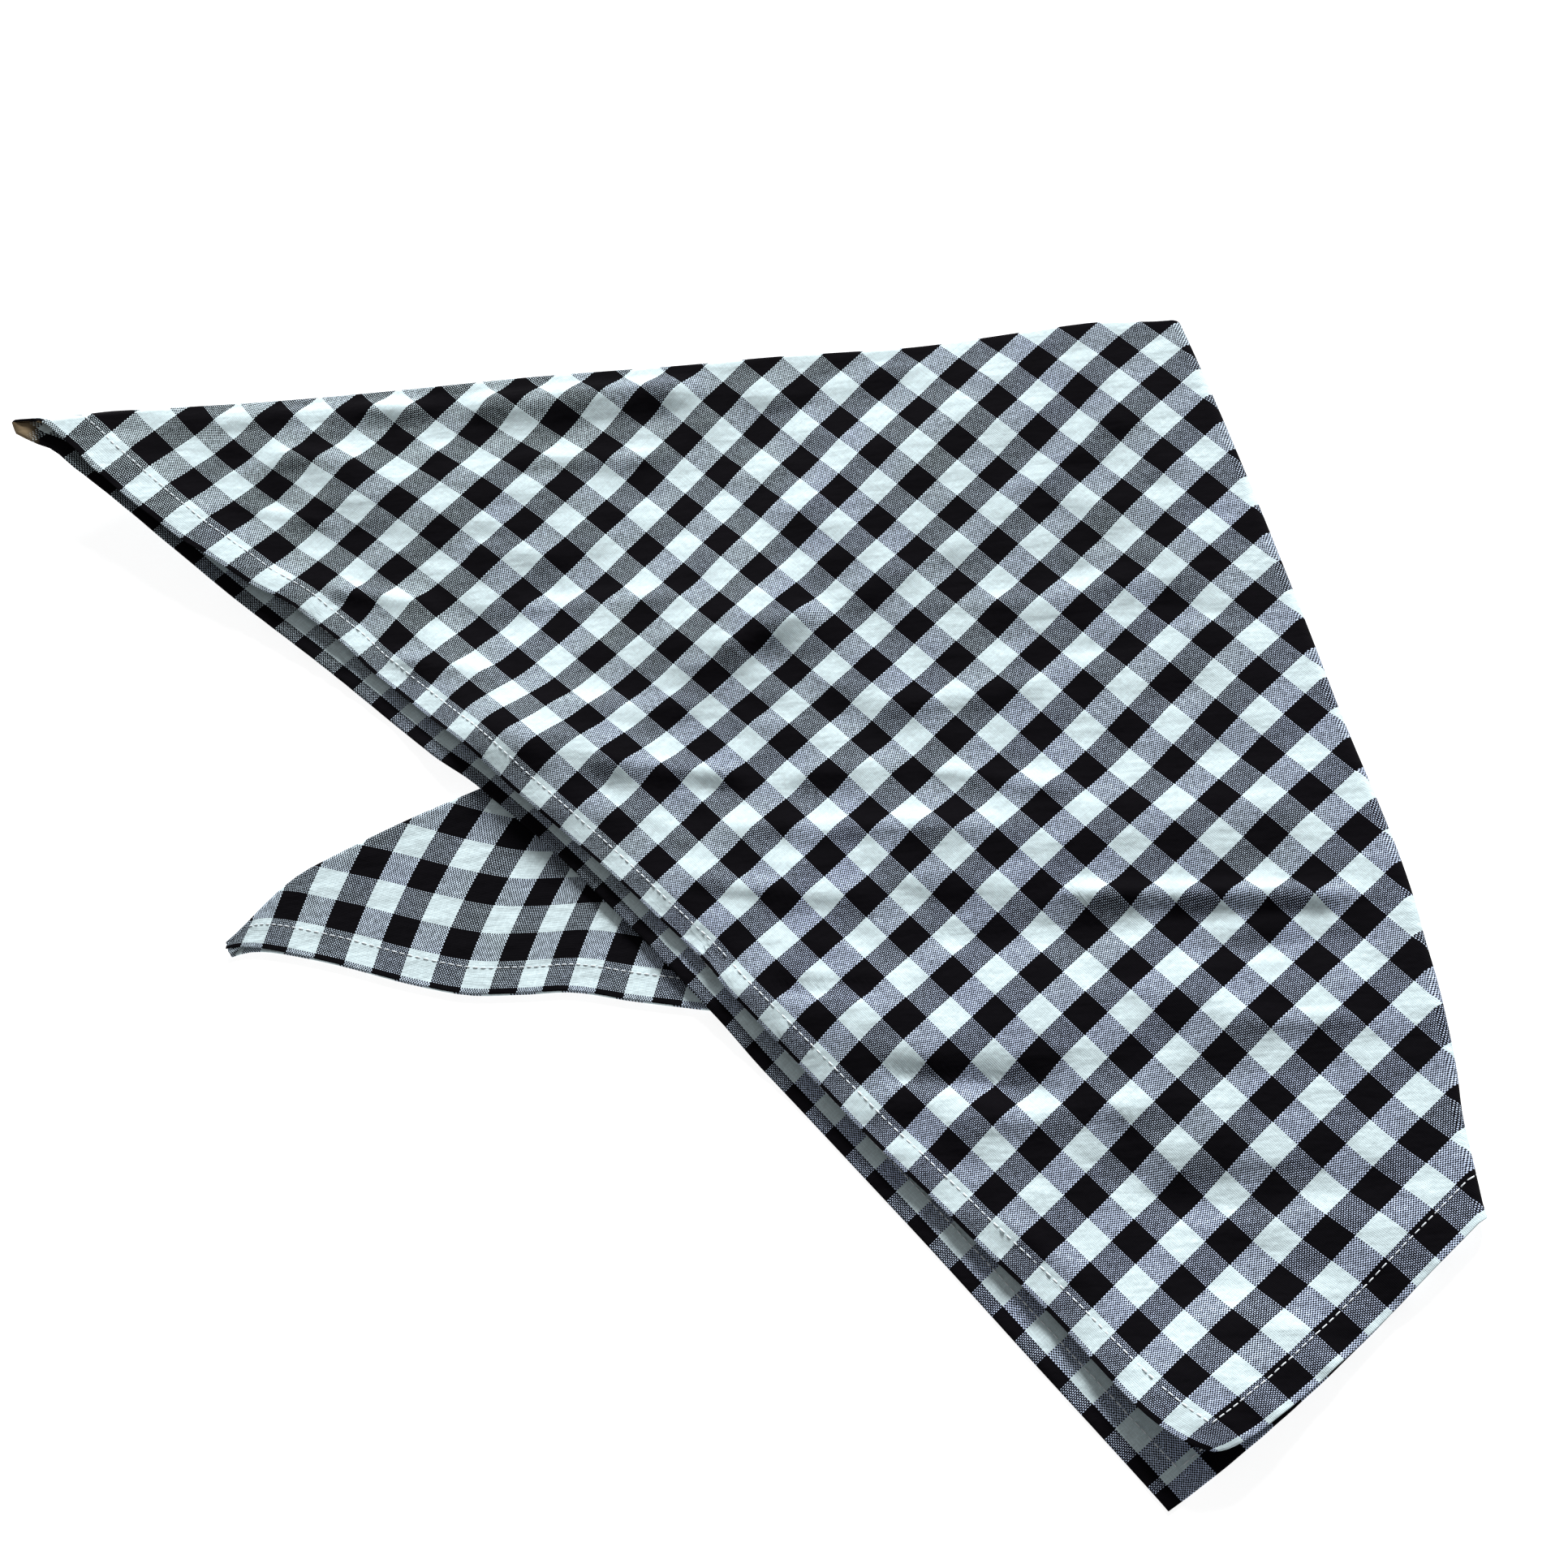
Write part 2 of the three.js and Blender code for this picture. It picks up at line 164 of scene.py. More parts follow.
# Plan outline of the tucked layers, from P down the second fold, along the hem to B and back up
# the first fold: x, y, and whether this corner is on the rolled edge
TUCKED_OUTLINE = (
    (137, 168, True),
    (175, 14, False),
    (199, -143, False),
    (114, -94, False),
    (38, -62, False),
    (-3, -50, False),
    (-96, -52, False),
    (-148, -35, False),
    (-192, -23, True),
    (-154, -4, True),
    (-110, 16, True),
    (2, 97, True),
)
STEP_DOWN = {"clear": 9, "width": 42}
OVER_ROLL = {"rise": 1.2, "width": 30}
SETTLE = 28.0

# Soft rises of the front upper layer: x, y, reach along, reach across, degrees, height
RISES = (
    (118, -202, 42, 30, 40, 9.1),
    (40, -105, 110, 26, -48, 4.2),
    (-92, 30, 60, 24, -45, 5.2),
    (-205, 118, 50, 18, -42, 3.9),
    (-18, 66, 26, 16, 20, 4.4),
    (-70, 28, 34, 11, -8, 3.4),
    (-170, 150, 46, 16, -30, 2.6),
    (-110, 132, 60, 18, -20, 2.1),
    (95, -18, 115, 13, 0, 2.6),
    (110, -78, 90, 16, -3, 1.8),
    (150, 60, 70, 26, -72, 2.0),
)

PATTERN_DRIFT = (
    (130, 5, 70, 32, 8, -6),
    (60, 20, 38, 30, 0.5, -4.5),
    (110, 65, 45, 28, 2.2, 0),
    (100, 95, 36, 25, 1, 3.5),
    (215, 100, 48, 38, -2.8, -4),
    (255, 60, 45, 30, -0.8, -1.2),
    (235, 15, 60, 35, 1.4, 0.3),
    (165, 130, 28, 26, -1.6, -2.4),
    (235, 155, 48, 34, 0.2, 2.4),
    (385, 30, 45, 40, 0.5, 2.6),
    (365, 170, 36, 26, -0.4, -2),
    (270, 200, 90, 60, -1, 0.3),
    (430, 305, 90, 60, 2, -1.2),
    (60, 5, 30, 20, 0, -1.2),
)

# Creases of the front upper layer: from x, y, to x, y, half width, height, below 0 for a hollow
CREASES = (
    (-65, 21, -6, 12, 3.9, 2.4),
    (-10, 12, 46, 8, 4.7, 1.4),
    (44, 9, 99, -5, 3.9, 2.0),
    (76, -37, 186, -48, 3.0, 3.3),
    (30, -28, 80, -36, 4.3, 1.2),
    (-31, -5, 73, -14, 4.3, 2.0),
    (-6, -62, 34, -65, 3.0, -1.8),
    (23, -90, 87, -100, 4.2, -3.0),
    (-36, -23, 38, -36, 3.9, 1.7),
    (43, -49, 118, -51, 4.7, -1.9),
    (120, -60, 185, -62, 3.9, -1.0),
    (46, -110, 116, -106, 3.9, 1.9),
    (95, -134, 186, -136, 6.0, -2.2),
    (129, -83, 194, -88, 3.4, 1.4),
    (-169, 101, -120, 90, 3.9, 2.3),
    (-120, 90, -22, 79, 4.3, 1.6),
    (-246, 186, -119, 173, 7.7, 3.4),
    (-125, 173, -20, 166, 7.7, 4.0),
    (-190, 160, -150, 150, 4.3, 1.6),
    (-105, 148, -40, 140, 4.3, 1.6),
    (-20, 160, 70, 164, 5.2, 1.1),
    (-116, 112, -71, 105, 4.3, 1.4),
    (-24, 56, 15, 70, 4.3, 2.2),
    (15, 70, 67, 92, 4.3, 1.4),
    (25, 33, 94, 34, 4.3, 1.9),
    (67, 95, 122, 136, 5.2, 1.1),
    (-160, 127, -199, 139, 3.4, 1.2),
    (-150, 74, -95, 58, 4.3, 1.4),
    (-90, 45, -20, 38, 4.3, 1.4),
    (115, 60, 172, 45, 5.2, -1.4),
    (60, 62, 120, 70, 4.3, 1.1),
    (110, -168, 160, -176, 4.3, 1.1),
    (60, -135, 92, -160, 4.3, 1.2),
    (150, 110, 166, 40, 5.2, -1.2),
)

# A crease fades over this part of its length at both ends
CREASE_END = 0.2

# Past the first fold the relief sets in, the upper layer rises a little as a whole, and there is a
# limit to how far it may dip towards the one below it, at which it stops softly
RISE_START = {"before": 2.0, "over": 10.0}
RISE_ALL = {"by": 0.8, "over": 25.0}
RISE_LOWEST = {"by": 0.75, "from": 4.0, "over": 12.0}
RISE_SOFT = 0.3

# Fine rumples left by folding and wearing: how many waves, their lengths, the directions in which
# they run and how these spread, in radians, and steepness
RUMPLES = {"seed": 11, "count": 46, "short": 9, "long": 40, "turn": 1.57, "spread": 0.5, "steep": 0.028}
RUMPLE_PATCHES = {"even": 0.6, "uneven": 0.4, "x": 23.0, "y": 27.0, "slant_x": 61.0}
PATCH_SWAY = {"by": 1.3, "y": 31.0}
CALM_LOWER_RIGHT = {"by": 0.25, "from": 60.0, "over": 200.0}

# The stitched hem gathers into small puckers, unevenly spaced and of uneven height
PUCKERS = {"height": 0.42, "pitch": 11.5, "at": 5.0, "wide": 6.5}
PUCKER_SHIFTS = {"slow": 3.1, "slow_over": 17.0, "quick": 2.2, "quick_over": 7.3, "quick_from": 1.0}
PUCKER_HEIGHTS = {"even": 0.7, "uneven": 0.3, "over": 29.0}

# Mesh: rows from the first fold to the hem on each side, and columns across the cloth
UPPER_ROWS = 146
UNDER_ROWS = 40
ROLL_ROWS = (0.2, 0.4, 0.6, 0.8, 1.0)
EDGE_ROWS = (0.12, 0.3, 0.6, 3.0, 6.0, 8.4)
FRONT_COLUMNS = 176
ROLL_COLUMNS = 10
HIDDEN_COLUMNS = 12
BARE_COLUMNS = 34
BARE_FROM = 225
BLUNT_END = 4.0
HALVINGS = 46
BEYOND = 60.0

# Where the cloth is narrow, the hem takes up these parts of its width
NARROW = {"edge": 0.5, "flap": 0.55}

# The cloth's edge is never thinner than this part of it, and nothing goes below these heights
THIN_EDGE = 0.1
CLOTH_CLEAR = 0.03
THREAD_CLEAR = 0.02

# The checks slip only this far inside the hem
SLIP_FROM_HEM = {"from": 9.0, "over": 30.0}

MIDDLE = (BACK_UPPER + FRONT_UPPER) / 2
OUTER = (FRONT_UPPER - BACK_UPPER) / 2
INNER = (FRONT_UNDER - BACK_UNDER) / 2
MEAN_TURN = (OUTER + INNER) / 2
PRESSED = (OUTER - INNER) / 2
DOWN = (math.cos(math.radians(FOLD2_DEGREES)), math.sin(math.radians(FOLD2_DEGREES)))
RIGHT = (-DOWN[1], DOWN[0])


def ease(value):
    part = np.clip(value, 0.0, 1.0)
    return part * part * (3.0 - 2.0 * part)


def mix(start, end, part):
    return start + (end - start) * part


def bell(value):
    return np.exp(-value * value)


def bow_at(q):
    part = np.clip(q / FOLD2_LENGTH, 0.0, 1.0)
    fuller = curve_through(np.clip(q, 0.0, FOLD2_FULL_END), FOLD2_FULL)
    return FOLD2_BOW * 4.0 * part * (1.0 - part) - FOLD2_IN + fuller


def eased_steps(value, table):
    """A smooth line through the table's steps."""
    at, out = np.array(table, float).T
    step = np.clip(np.searchsorted(at, value, side="right"), 1, len(at) - 1)
    part = ease((value - at[step - 1]) / (at[step] - at[step - 1]))
    return mix(out[step - 1], out[step], part)


def curve_through(value, table, column=1):
    """A curve through the table's points, without flat spots between them."""
    at, out = np.array(table, float)[:, (0, column)].T
    slope = np.gradient(out, at)
    step = np.clip(np.searchsorted(at, value, side="right"), 1, len(at) - 1)
    wide = at[step] - at[step - 1]
    part = (value - at[step - 1]) / wide
    square, cube = part * part, part * part * part
    return (
        (2 * cube - 3 * square + 1) * out[step - 1] + (cube - 2 * square + part) * wide * slope[step - 1]
        + (3 * square - 2 * cube) * out[step] + (cube - square) * wide * slope[step]
    )


def tip_plan(along, inside, side):
    """Plan of the bare tip: along the first fold, and distance inside it."""
    from_tip = SIDE * ROOT2 - along
    beside = (from_tip + inside) / ROOT2 - TIP_INWARD["edge"] * (1 - side) / 2
    inward = (from_tip - inside) / ROOT2 + TIP_INWARD["edge"] * (1 - side) / 2
    x = curve_through(beside, TIP_HEM, 1) + TIP_INWARD["x"] * inward
    y = curve_through(beside, TIP_HEM, 2) + TIP_INWARD["y"] * inward
    lower = TIP_INWARD["lower_out"] * (1 + side) / 2 * bell(inward / TIP_INWARD["fade"])
    return x + TIP_INWARD["bend_x"] * inward * np.abs(inward), y + lower


def front_plan(along, away):
    """Plan of a point before the second fold: along the first fold, and away from it."""
    near = np.maximum(0.0, (TIP_A["from"] - along) / TIP_A["over"]) ** 2
    away = away + FRONT_OUT["by"] * ease(away / FRONT_OUT["over"])
    x = P_X + (along - P_ALONG) * ALONG[0] + away * AWAY[0]
    y = P_Y + (along - P_ALONG) * ALONG[1] + away * AWAY[1]
    x = x + near * (TIP_A["x"] + TIP_A["spread_x"] * away / TIP_A["per"])
    y = y + near * (TIP_A["y"] + TIP_A["spread_y"] * away / TIP_A["per"])
    return x, y


def to_fold(x, y):
    """Distance before (+) or past (-) the second fold, and distance down along it."""
    q = (x - P_X) * DOWN[0] + (y - P_Y) * DOWN[1]
    return bow_at(q) - ((x - P_X) * RIGHT[0] + (y - P_Y) * RIGHT[1]), q


def skewed_plan(along, away, side, bulge=0.0):
    along = np.where(side > 0, along, along + UNDER_SKEW * away)
    away = np.where(side > 0, away, UNDER_STRETCH * away)
    return to_fold(*front_plan(along, away - bulge))


def along_for(w, distance, side):
    """Where along the first fold a point must lie, so that it is w before the second fold."""
    away = np.maximum(0.0, distance - ROLL_HALF_WIDTH)
    low = np.full(np.shape(w + distance), -BEYOND)
    high = np.full(np.shape(w + distance), SIDE * ROOT2 + BEYOND)
    for _ in range(HALVINGS):
        tried = (low + high) / 2
        before = skewed_plan(tried, away, side)[0] > w
        low = np.where(before, tried, low)
        high = np.where(before, high, tried)
    return (low + high) / 2


def square_coordinates(along, distance, side):
    across = side * distance + FOLD_OFF_DIAGONAL
    return (along + across) / ROOT2, (along - across) / ROOT2


def hem_distances(along, distance, side):
    """Distances of a cloth point from its left and right hems."""
    u, v = square_coordinates(along, distance, side)
    return np.where(side > 0, v, u), np.where(side > 0, SIDE - u, SIDE - v)


def hem_reach(w, side):
    low = np.zeros_like(w)
    high = np.full_like(w, SIDE)
    for _ in range(HALVINGS):
        tried = (low + high) / 2
        left, right = hem_distances(along_for(w, tried, side), tried, side)
        inside = np.minimum(left, right) > 0
        low = np.where(inside, tried, low)
        high = np.where(inside, high, tried)
    return (low + high) / 2


def segment_distance(x, y, x1, y1, x2, y2):
    dx, dy = x2 - x1, y2 - y1
    part = np.clip(((x - x1) * dx + (y - y1) * dy) / (dx * dx + dy * dy), 0.0, 1.0)
    return np.hypot(x - x1 - part * dx, y - y1 - part * dy), part


def under_support(x, y):
    """Height that the tucked layers give the front ones: full above them, and down to the floor."""
    nearest = np.full(np.shape(x), np.inf)
    roll = np.full(np.shape(x), np.inf)
    inside = np.zeros(np.shape(x), bool)
    for number, (x1, y1, rolled) in enumerate(TUCKED_OUTLINE):
        x2, y2, next_rolled = TUCKED_OUTLINE[(number + 1) % len(TUCKED_OUTLINE)]
        distance, _ = segment_distance(x, y, x1, y1, x2, y2)
        nearest = np.minimum(nearest, distance)
        if rolled and next_rolled:
            roll = np.minimum(roll, distance)
        if y1 != y2:
            inside ^= ((y1 > y) != (y2 > y)) & (x < x1 + (x2 - x1) * (y - y1) / (y2 - y1))
    over = 1.0 - ease((np.where(inside, 0.0, nearest) - STEP_DOWN["clear"]) / STEP_DOWN["width"])
    return mix(ON_SURFACE, FRONT_UNDER + OVER_ROLL["rise"] * bell(roll / OVER_ROLL["width"]), over)


def upper_rise(x, y):
    rise = np.zeros(np.shape(x))
    for bump_x, bump_y, long, wide, degrees, height in RISES:
        cos, sin = math.cos(math.radians(degrees)), math.sin(math.radians(degrees))
        dx, dy = x - bump_x, y - bump_y
        ahead, across = (dx * cos + dy * sin) / long, (dy * cos - dx * sin) / wide
        rise = rise + height * np.exp(-ahead ** 2 - across ** 2)
    for x1, y1, x2, y2, width, height in CREASES:
        distance, part = segment_distance(x, y, x1, y1, x2, y2)
        fade = ease(part / CREASE_END) * ease((1.0 - part) / CREASE_END)
        rise = rise + height * fade * bell(distance / width)
    return rise + rumples(x, y)


def rumples(x, y):
    """Many small waves whose crests lie mostly along the first fold."""
    chance = np.random.default_rng(RUMPLES["seed"])
    total = np.zeros(np.shape(x))
    for _ in range(RUMPLES["count"]):
        length = RUMPLES["short"] * (RUMPLES["long"] / RUMPLES["short"]) ** chance.random()
        turn = chance.normal(RUMPLES["turn"], RUMPLES["spread"])
        wave = 2 * math.pi / length
        phase = chance.random() * 2 * math.pi
        forward = x * math.cos(turn) + y * math.sin(turn)
        total = total + RUMPLES["steep"] / wave * np.cos(wave * forward + phase)
    patches = RUMPLE_PATCHES
    across = np.sin(x / patches["x"] + PATCH_SWAY["by"] * np.sin(y / PATCH_SWAY["y"]))
    upward = np.sin(y / patches["y"] + x / patches["slant_x"])
    patch = patches["even"] + patches["uneven"] * across * upward
    lower_right = ease((x - y - CALM_LOWER_RIGHT["from"]) / CALM_LOWER_RIGHT["over"])
    return total * patch * (1.0 - CALM_LOWER_RIGHT["by"] * lower_right)


def puckers(along, distance, side):
    """Height of the puckers along the left and right hems."""
    left, right = hem_distances(along, distance, side)
    height = np.zeros(np.shape(left))
    for inward, lengthwise in ((left, right), (right, left)):
        slow = PUCKER_SHIFTS["slow"] * np.sin(lengthwise / PUCKER_SHIFTS["slow_over"])
        quick_at = lengthwise / PUCKER_SHIFTS["quick_over"] + PUCKER_SHIFTS["quick_from"]
        uneven = lengthwise + slow + PUCKER_SHIFTS["quick"] * np.sin(quick_at)
        higher = np.sin(lengthwise / PUCKER_HEIGHTS["over"])
        size = PUCKER_HEIGHTS["even"] + PUCKER_HEIGHTS["uneven"] * higher
        wave = np.sin(2 * math.pi * uneven / PUCKERS["pitch"]) * size
        height = height + PUCKERS["height"] * wave * bell((inward - PUCKERS["at"]) / PUCKERS["wide"])
    return height


def half_gap(from_second, away):
    full = PRESSED + (ROLL_RISE - PRESSED) * np.exp(-away / ROLL_FADE)
    return mix(PRESSED, full, ease((from_second - OUTER) / SETTLE))


def hem_shift(left, right, away, side, w):
    """How far the hems and loose corners of the front layers lie from those of the true square."""
    here = ease(w / SETTLE)
    left, right = np.maximum(0.0, left), np.maximum(0.0, right)
    lengthwise = np.sin(math.pi * np.clip((SIDE - right) / SIDE, 0, 1))
    middle = np.sin(math.pi * np.clip(left / RIGHT_HEM_OUT["span"], 0, 1))
    upper_left = LEFT_HEM_IN * lengthwise * np.exp(-left / HEM_FADE)
    at_right = np.exp(-right / HEM_FADE)
    upper_right = -mix(RIGHT_HEM_OUT["ends"], RIGHT_HEM_OUT["middle"], middle) * at_right
    corner = C1_IN["depth"] * np.exp(-np.hypot(left, right) / C1_IN["fade"]) * ease(away / C1_IN["from"])
    part = np.clip(away / (SIDE / ROOT2), 0, 1)
    under_left = UNDER_HOLLOW * 4 * part * (1 - part)
    under_right = C2_IN["depth"] * np.exp(-left / C2_IN["fade"] - right / HEM_FADE)
    under_right = under_right - UNDER_RIGHT_OUT["by"] * ease(left / UNDER_RIGHT_OUT["from"]) * at_right
    upper_left = upper_left - eased_steps(SIDE - right, UPPER_HEM) * np.exp(-left / WAVE_FADE)
    under_left = under_left - eased_steps(SIDE - right, UNDER_HEM) * np.exp(-left / WAVE_FADE)
    left_in = np.where(side > 0, upper_left, under_left)
    right_in = np.where(side > 0, upper_right, under_right)
    along = here * (left_in - right_in) / ROOT2
    inward = here * ((left_in + right_in) / ROOT2 + np.where(side > 0, corner, 0.0))
    return along * ALONG[0] - inward * AWAY[0], along * ALONG[1] - inward * AWAY[1]


def place(along, distance, side):
    """The middle of the cloth, for a point by its place along the first fold and distance from it."""
    angle = (math.pi / 2) * np.minimum(1.0, distance / ROLL_HALF_WIDTH)
    level = side * np.sin(angle)
    away = np.maximum(0.0, distance - ROLL_HALF_WIDTH)
    flat_w, _ = skewed_plan(along, away, side)
    drift = eased_steps(along, FOLD_DRIFT) * np.exp(-away / DRIFT_FADE)
    drawn = ease(1.0 - (SIDE * ROOT2 - along) / TIP_DRAWN_IN["over"])
    drift = drift - TIP_DRAWN_IN["by"] * (drawn * np.exp(-away / TIP_DRAWN_IN["fade"]))
    bulge = np.cos(angle) * half_gap(np.abs(flat_w), 0.0) + drift
    w, q = skewed_plan(along, away, side, bulge)

    turning = np.abs(w) < OUTER
    swing = (math.pi / 2) * np.clip(w / OUTER, -1, 1)
    radius = MEAN_TURN + PRESSED * level
    outward = bow_at(q) - np.where(turning, OUTER - radius * np.cos(swing), np.abs(w))
    x = P_X + DOWN[0] * q + RIGHT[0] * outward
    y = P_Y + DOWN[1] * q + RIGHT[1] * outward
    z = MIDDLE + radius * np.sin(swing)

    # Before the second fold
    front = w >= OUTER
    settled = ease((w - OUTER) / SETTLE)
    gap = half_gap(w, away)
    upper = ease((level + 1) / 2)
    front_z = mix(FRONT_UNDER, under_support(x, y), settled) + (level + 1) * gap
    front_z = front_z + TIP_A_LIFT["height"] * np.clip(1 - along / TIP_A_LIFT["length"], 0, 1) ** 2
    point = np.exp(-np.maximum(0.0, along) / POINT_A["fade"])
    front_x = x + point * mix(POINT_A["under_x"], POINT_A["upper_x"], upper)
    front_y = y + point * mix(POINT_A["under_y"], POINT_A["upper_y"], upper)
    started = ease((away + RISE_START["before"]) / RISE_START["over"])
    gathered = puckers(along, distance, side)
    rise = upper_rise(front_x, front_y) * started + gathered
    rise = rise + RISE_ALL["by"] * ease(away / RISE_ALL["over"])
    lowest = -RISE_LOWEST["by"] * ease((away - RISE_LOWEST["from"]) / RISE_LOWEST["over"])
    rise = lowest + RISE_SOFT * np.logaddexp(0.0, (rise - lowest) / RISE_SOFT)
    front_z = front_z + np.where(side > 0, rise * upper, gathered) * settled

    # Past it, tucked underneath
    back = w <= -OUTER
    past = np.maximum(0.0, -w - OUTER)
    far = (past / BACK["reach"]) ** 3
    tip = bell((past - TIP_B["at"]) / TIP_B["width"])
    back_x = x + BACK["shear_x"] * past + BACK["curl_x"] * far
    back_y = y + BACK["shear_y"] * past + BACK["curl_y"] * far
    back_y = back_y + tip * (TIP_B["shift_y"] + TIP_B["spread_y"] * away / TIP_B["per"])
    bare = 1.0 - ease((SIDE * ROOT2 - along - TIP_BLEND["from"]) / TIP_BLEND["over"])
    tip_x, tip_y = tip_plan(along, away - bulge, side)
    back_x, back_y = mix(back_x, tip_x, bare), mix(back_y, tip_y, bare)
    back_low = mix(BACK_UPPER, ON_SURFACE, ease(past / SETTLE))
    back_z = back_low + (1 - level) * half_gap(-w, away)

    x = np.where(front, front_x, np.where(back, back_x, x))
    y = np.where(front, front_y, np.where(back, back_y, y))
    z = np.where(front, front_z, np.where(back, back_z, z))
    left, right = hem_distances(along, distance, side)
    shift_x, shift_y = hem_shift(left, right, away, side, w)
    return np.stack([x + shift_x, y + shift_y, z], -1)


def columns():
    """Distances of the mesh's columns before (+) or past (-) the second fold."""
    end_a = float(skewed_plan(np.array(0.0), np.array(0.0), 1)[0])
    end_b = float(skewed_plan(np.array(SIDE * ROOT2), np.array(0.0), 1)[0])
    front = np.linspace(end_a - BLUNT_END, OUTER, FRONT_COLUMNS, endpoint=False)
    roll = np.linspace(OUTER, -OUTER, ROLL_COLUMNS)
    hidden = np.linspace(-OUTER, -BARE_FROM, HIDDEN_COLUMNS + 1)[1:]
    bare = np.linspace(-BARE_FROM, end_b + BLUNT_END, BARE_COLUMNS + 1)[1:]
    corners = [corner_column(1), corner_column(-1)]
    for corner in corners:
        front[np.argmin(np.abs(front - corner))] = corner
    return np.concatenate([front, roll, hidden, bare])


def corner_column(side):
    """The column that meets the loose corner of the upper (1) or under (-1) layer."""
    along = SIDE / ROOT2
    distance = along - side * FOLD_OFF_DIAGONAL
    away = np.array(distance - ROLL_HALF_WIDTH)
    return float(skewed_plan(np.array(along), away, side)[0])


def row_distances(reach, rows):
    """Distances from the first fold of one side's rows, for each column's reach to the hem."""
    roll = np.minimum(ROLL_HALF_WIDTH, reach / 2)
    free = reach - roll
    narrow = free * NARROW["edge"]
    edge = [np.minimum(depth * ROOT2, narrow * depth / HEM_WIDTH) for depth in EDGE_ROWS]
    flap_in = np.minimum((HEM_WIDTH - FLAP_STEP) * ROOT2, narrow)
    flap_out = np.minimum(HEM_WIDTH * ROOT2, free * NARROW["flap"])
    body = free - flap_out
    result = [part * roll for part in ROLL_ROWS]
    result += [roll + body * (row / rows) for row in range(1, rows + 1)]
    result += [reach - flap_in] + [reach - depth for depth in reversed(edge)] + [reach]
    return np.stack(result, -1)


def cloth_grid():
    """Signed distances and places along the first fold, for every column and row."""
    w = columns()
    upper = row_distances(hem_reach(w, 1), UPPER_ROWS)
    under = row_distances(hem_reach(w, -1), UNDER_ROWS)
    signed = np.concatenate([-under[:, ::-1], np.zeros((len(w), 1)), upper], 1)
    side = np.where(signed >= 0, 1, -1)
    along = along_for(w[:, None] + 0 * signed, np.abs(signed), side)
    return along, np.abs(signed), side


def pattern_drift(along, across):
    """How far the checks have slipped from the even square, along the first fold and across it."""
    total = [np.zeros(np.shape(along + across)) for _ in range(2)]
    for at_along, at_across, long, wide, shift_along, shift_across in PATTERN_DRIFT:
        here = bell((along - at_along) / long) * bell((across - at_across) / wide)
        total[0] = total[0] + here * shift_along
        total[1] = total[1] + here * shift_across
    return total


def grid_normals(points):
    across = np.gradient(points, axis=1)
    forward = np.gradient(points, axis=0)
    normal = np.cross(across, forward)
    return normal / np.linalg.norm(normal, axis=-1, keepdims=True)


def to_scene(points):
    return (points - np.array([CENTRE[0], CENTRE[1], 0.0])) * MM


def new_object(name, vertices, faces):
    mesh = bpy.data.meshes.new(name)
    mesh.vertices.add(len(vertices))
    mesh.vertices.foreach_set("co", np.asarray(vertices, np.float32).ravel())
    sizes = faces.shape[1]
    mesh.loops.add(faces.size)
    mesh.loops.foreach_set("vertex_index", faces.astype(np.int32).ravel())
    mesh.polygons.add(len(faces))
    mesh.polygons.foreach_set("loop_start", np.arange(0, faces.size, sizes, dtype=np.int32))
    mesh.polygons.foreach_set("use_smooth", np.ones(len(faces), bool))
    mesh.update(calc_edges=True)
    mesh.validate()
    made = bpy.data.objects.new(name, mesh)
    bpy.context.scene.collection.objects.link(made)
    return made


def build_cloth():
    along, distance, side = cloth_grid()
    middle = place(along, distance, side)
    normal = grid_normals(middle)
    left, right = hem_distances(along, distance, side)
    hem = np.maximum(0.0, np.minimum(left, right))
    rounded = np.sqrt(1.0 - (1.0 - np.clip(hem / EDGE_ROUND, 0.0, 1.0)) ** 2)
    flap = FLAP * (1.0 - ease((hem - HEM_WIDTH + FLAP_STEP) / FLAP_STEP)) * rounded
    half = CLOTH / 2 * np.maximum(rounded, THIN_EDGE)
    top = middle + normal * half[..., None]
    bottom = middle - normal * (half + flap)[..., None]
    top[..., 2] = np.maximum(top[..., 2], CLOTH_CLEAR)
    bottom[..., 2] = np.maximum(bottom[..., 2], CLOTH_CLEAR)

    wide, tall = hem.shape
    index = np.arange(wide * tall).reshape(wide, tall)
    a, b, c, d = index[:-1, :-1], index[:-1, 1:], index[1:, 1:], index[1:, :-1]
    right_side = np.stack([a, b, c, d], -1).reshape(-1, 4)
    wrong_side = np.stack([a, d, c, b], -1).reshape(-1, 4) + wide * tall
    rim = np.concatenate([index[:, 0][::-1], index[0, :], index[:, -1], index[-1, ::-1]])
    keep = np.append(rim[:-1] != rim[1:], False)
    start, end = rim[keep], rim[1:][keep[:-1]]
    edge = np.stack([end, start, start + wide * tall, end + wide * tall], -1)
    faces = np.concatenate([right_side, wrong_side, edge])
    points = np.concatenate([top.reshape(-1, 3), bottom.reshape(-1, 3)])
    cloth = new_object("scarf_cloth_sheet", to_scene(points), faces)

    inside = np.minimum(left, right)
    front = (side > 0) * ease((inside - SLIP_FROM_HEM["from"]) / SLIP_FROM_HEM["over"])
    slip_along, slip_across = pattern_drift(along, distance)
    u, v = square_coordinates(along + front * slip_along, distance + side * front * slip_across, side)
    weave = np.stack([u, v], -1).reshape(-1, 2) / SIDE
    layer = cloth.data.uv_layers.new(name="weave")
    at_corners = np.concatenate([weave, weave])[faces.ravel()]
    layer.data.foreach_set("uv", at_corners.astype(np.float32).ravel())
    kinds = np.zeros(len(faces), np.int32)
    kinds[len(right_side):len(right_side) + len(wrong_side)] = 1
    cloth.data.polygons.foreach_set("material_index", kinds)
    return cloth


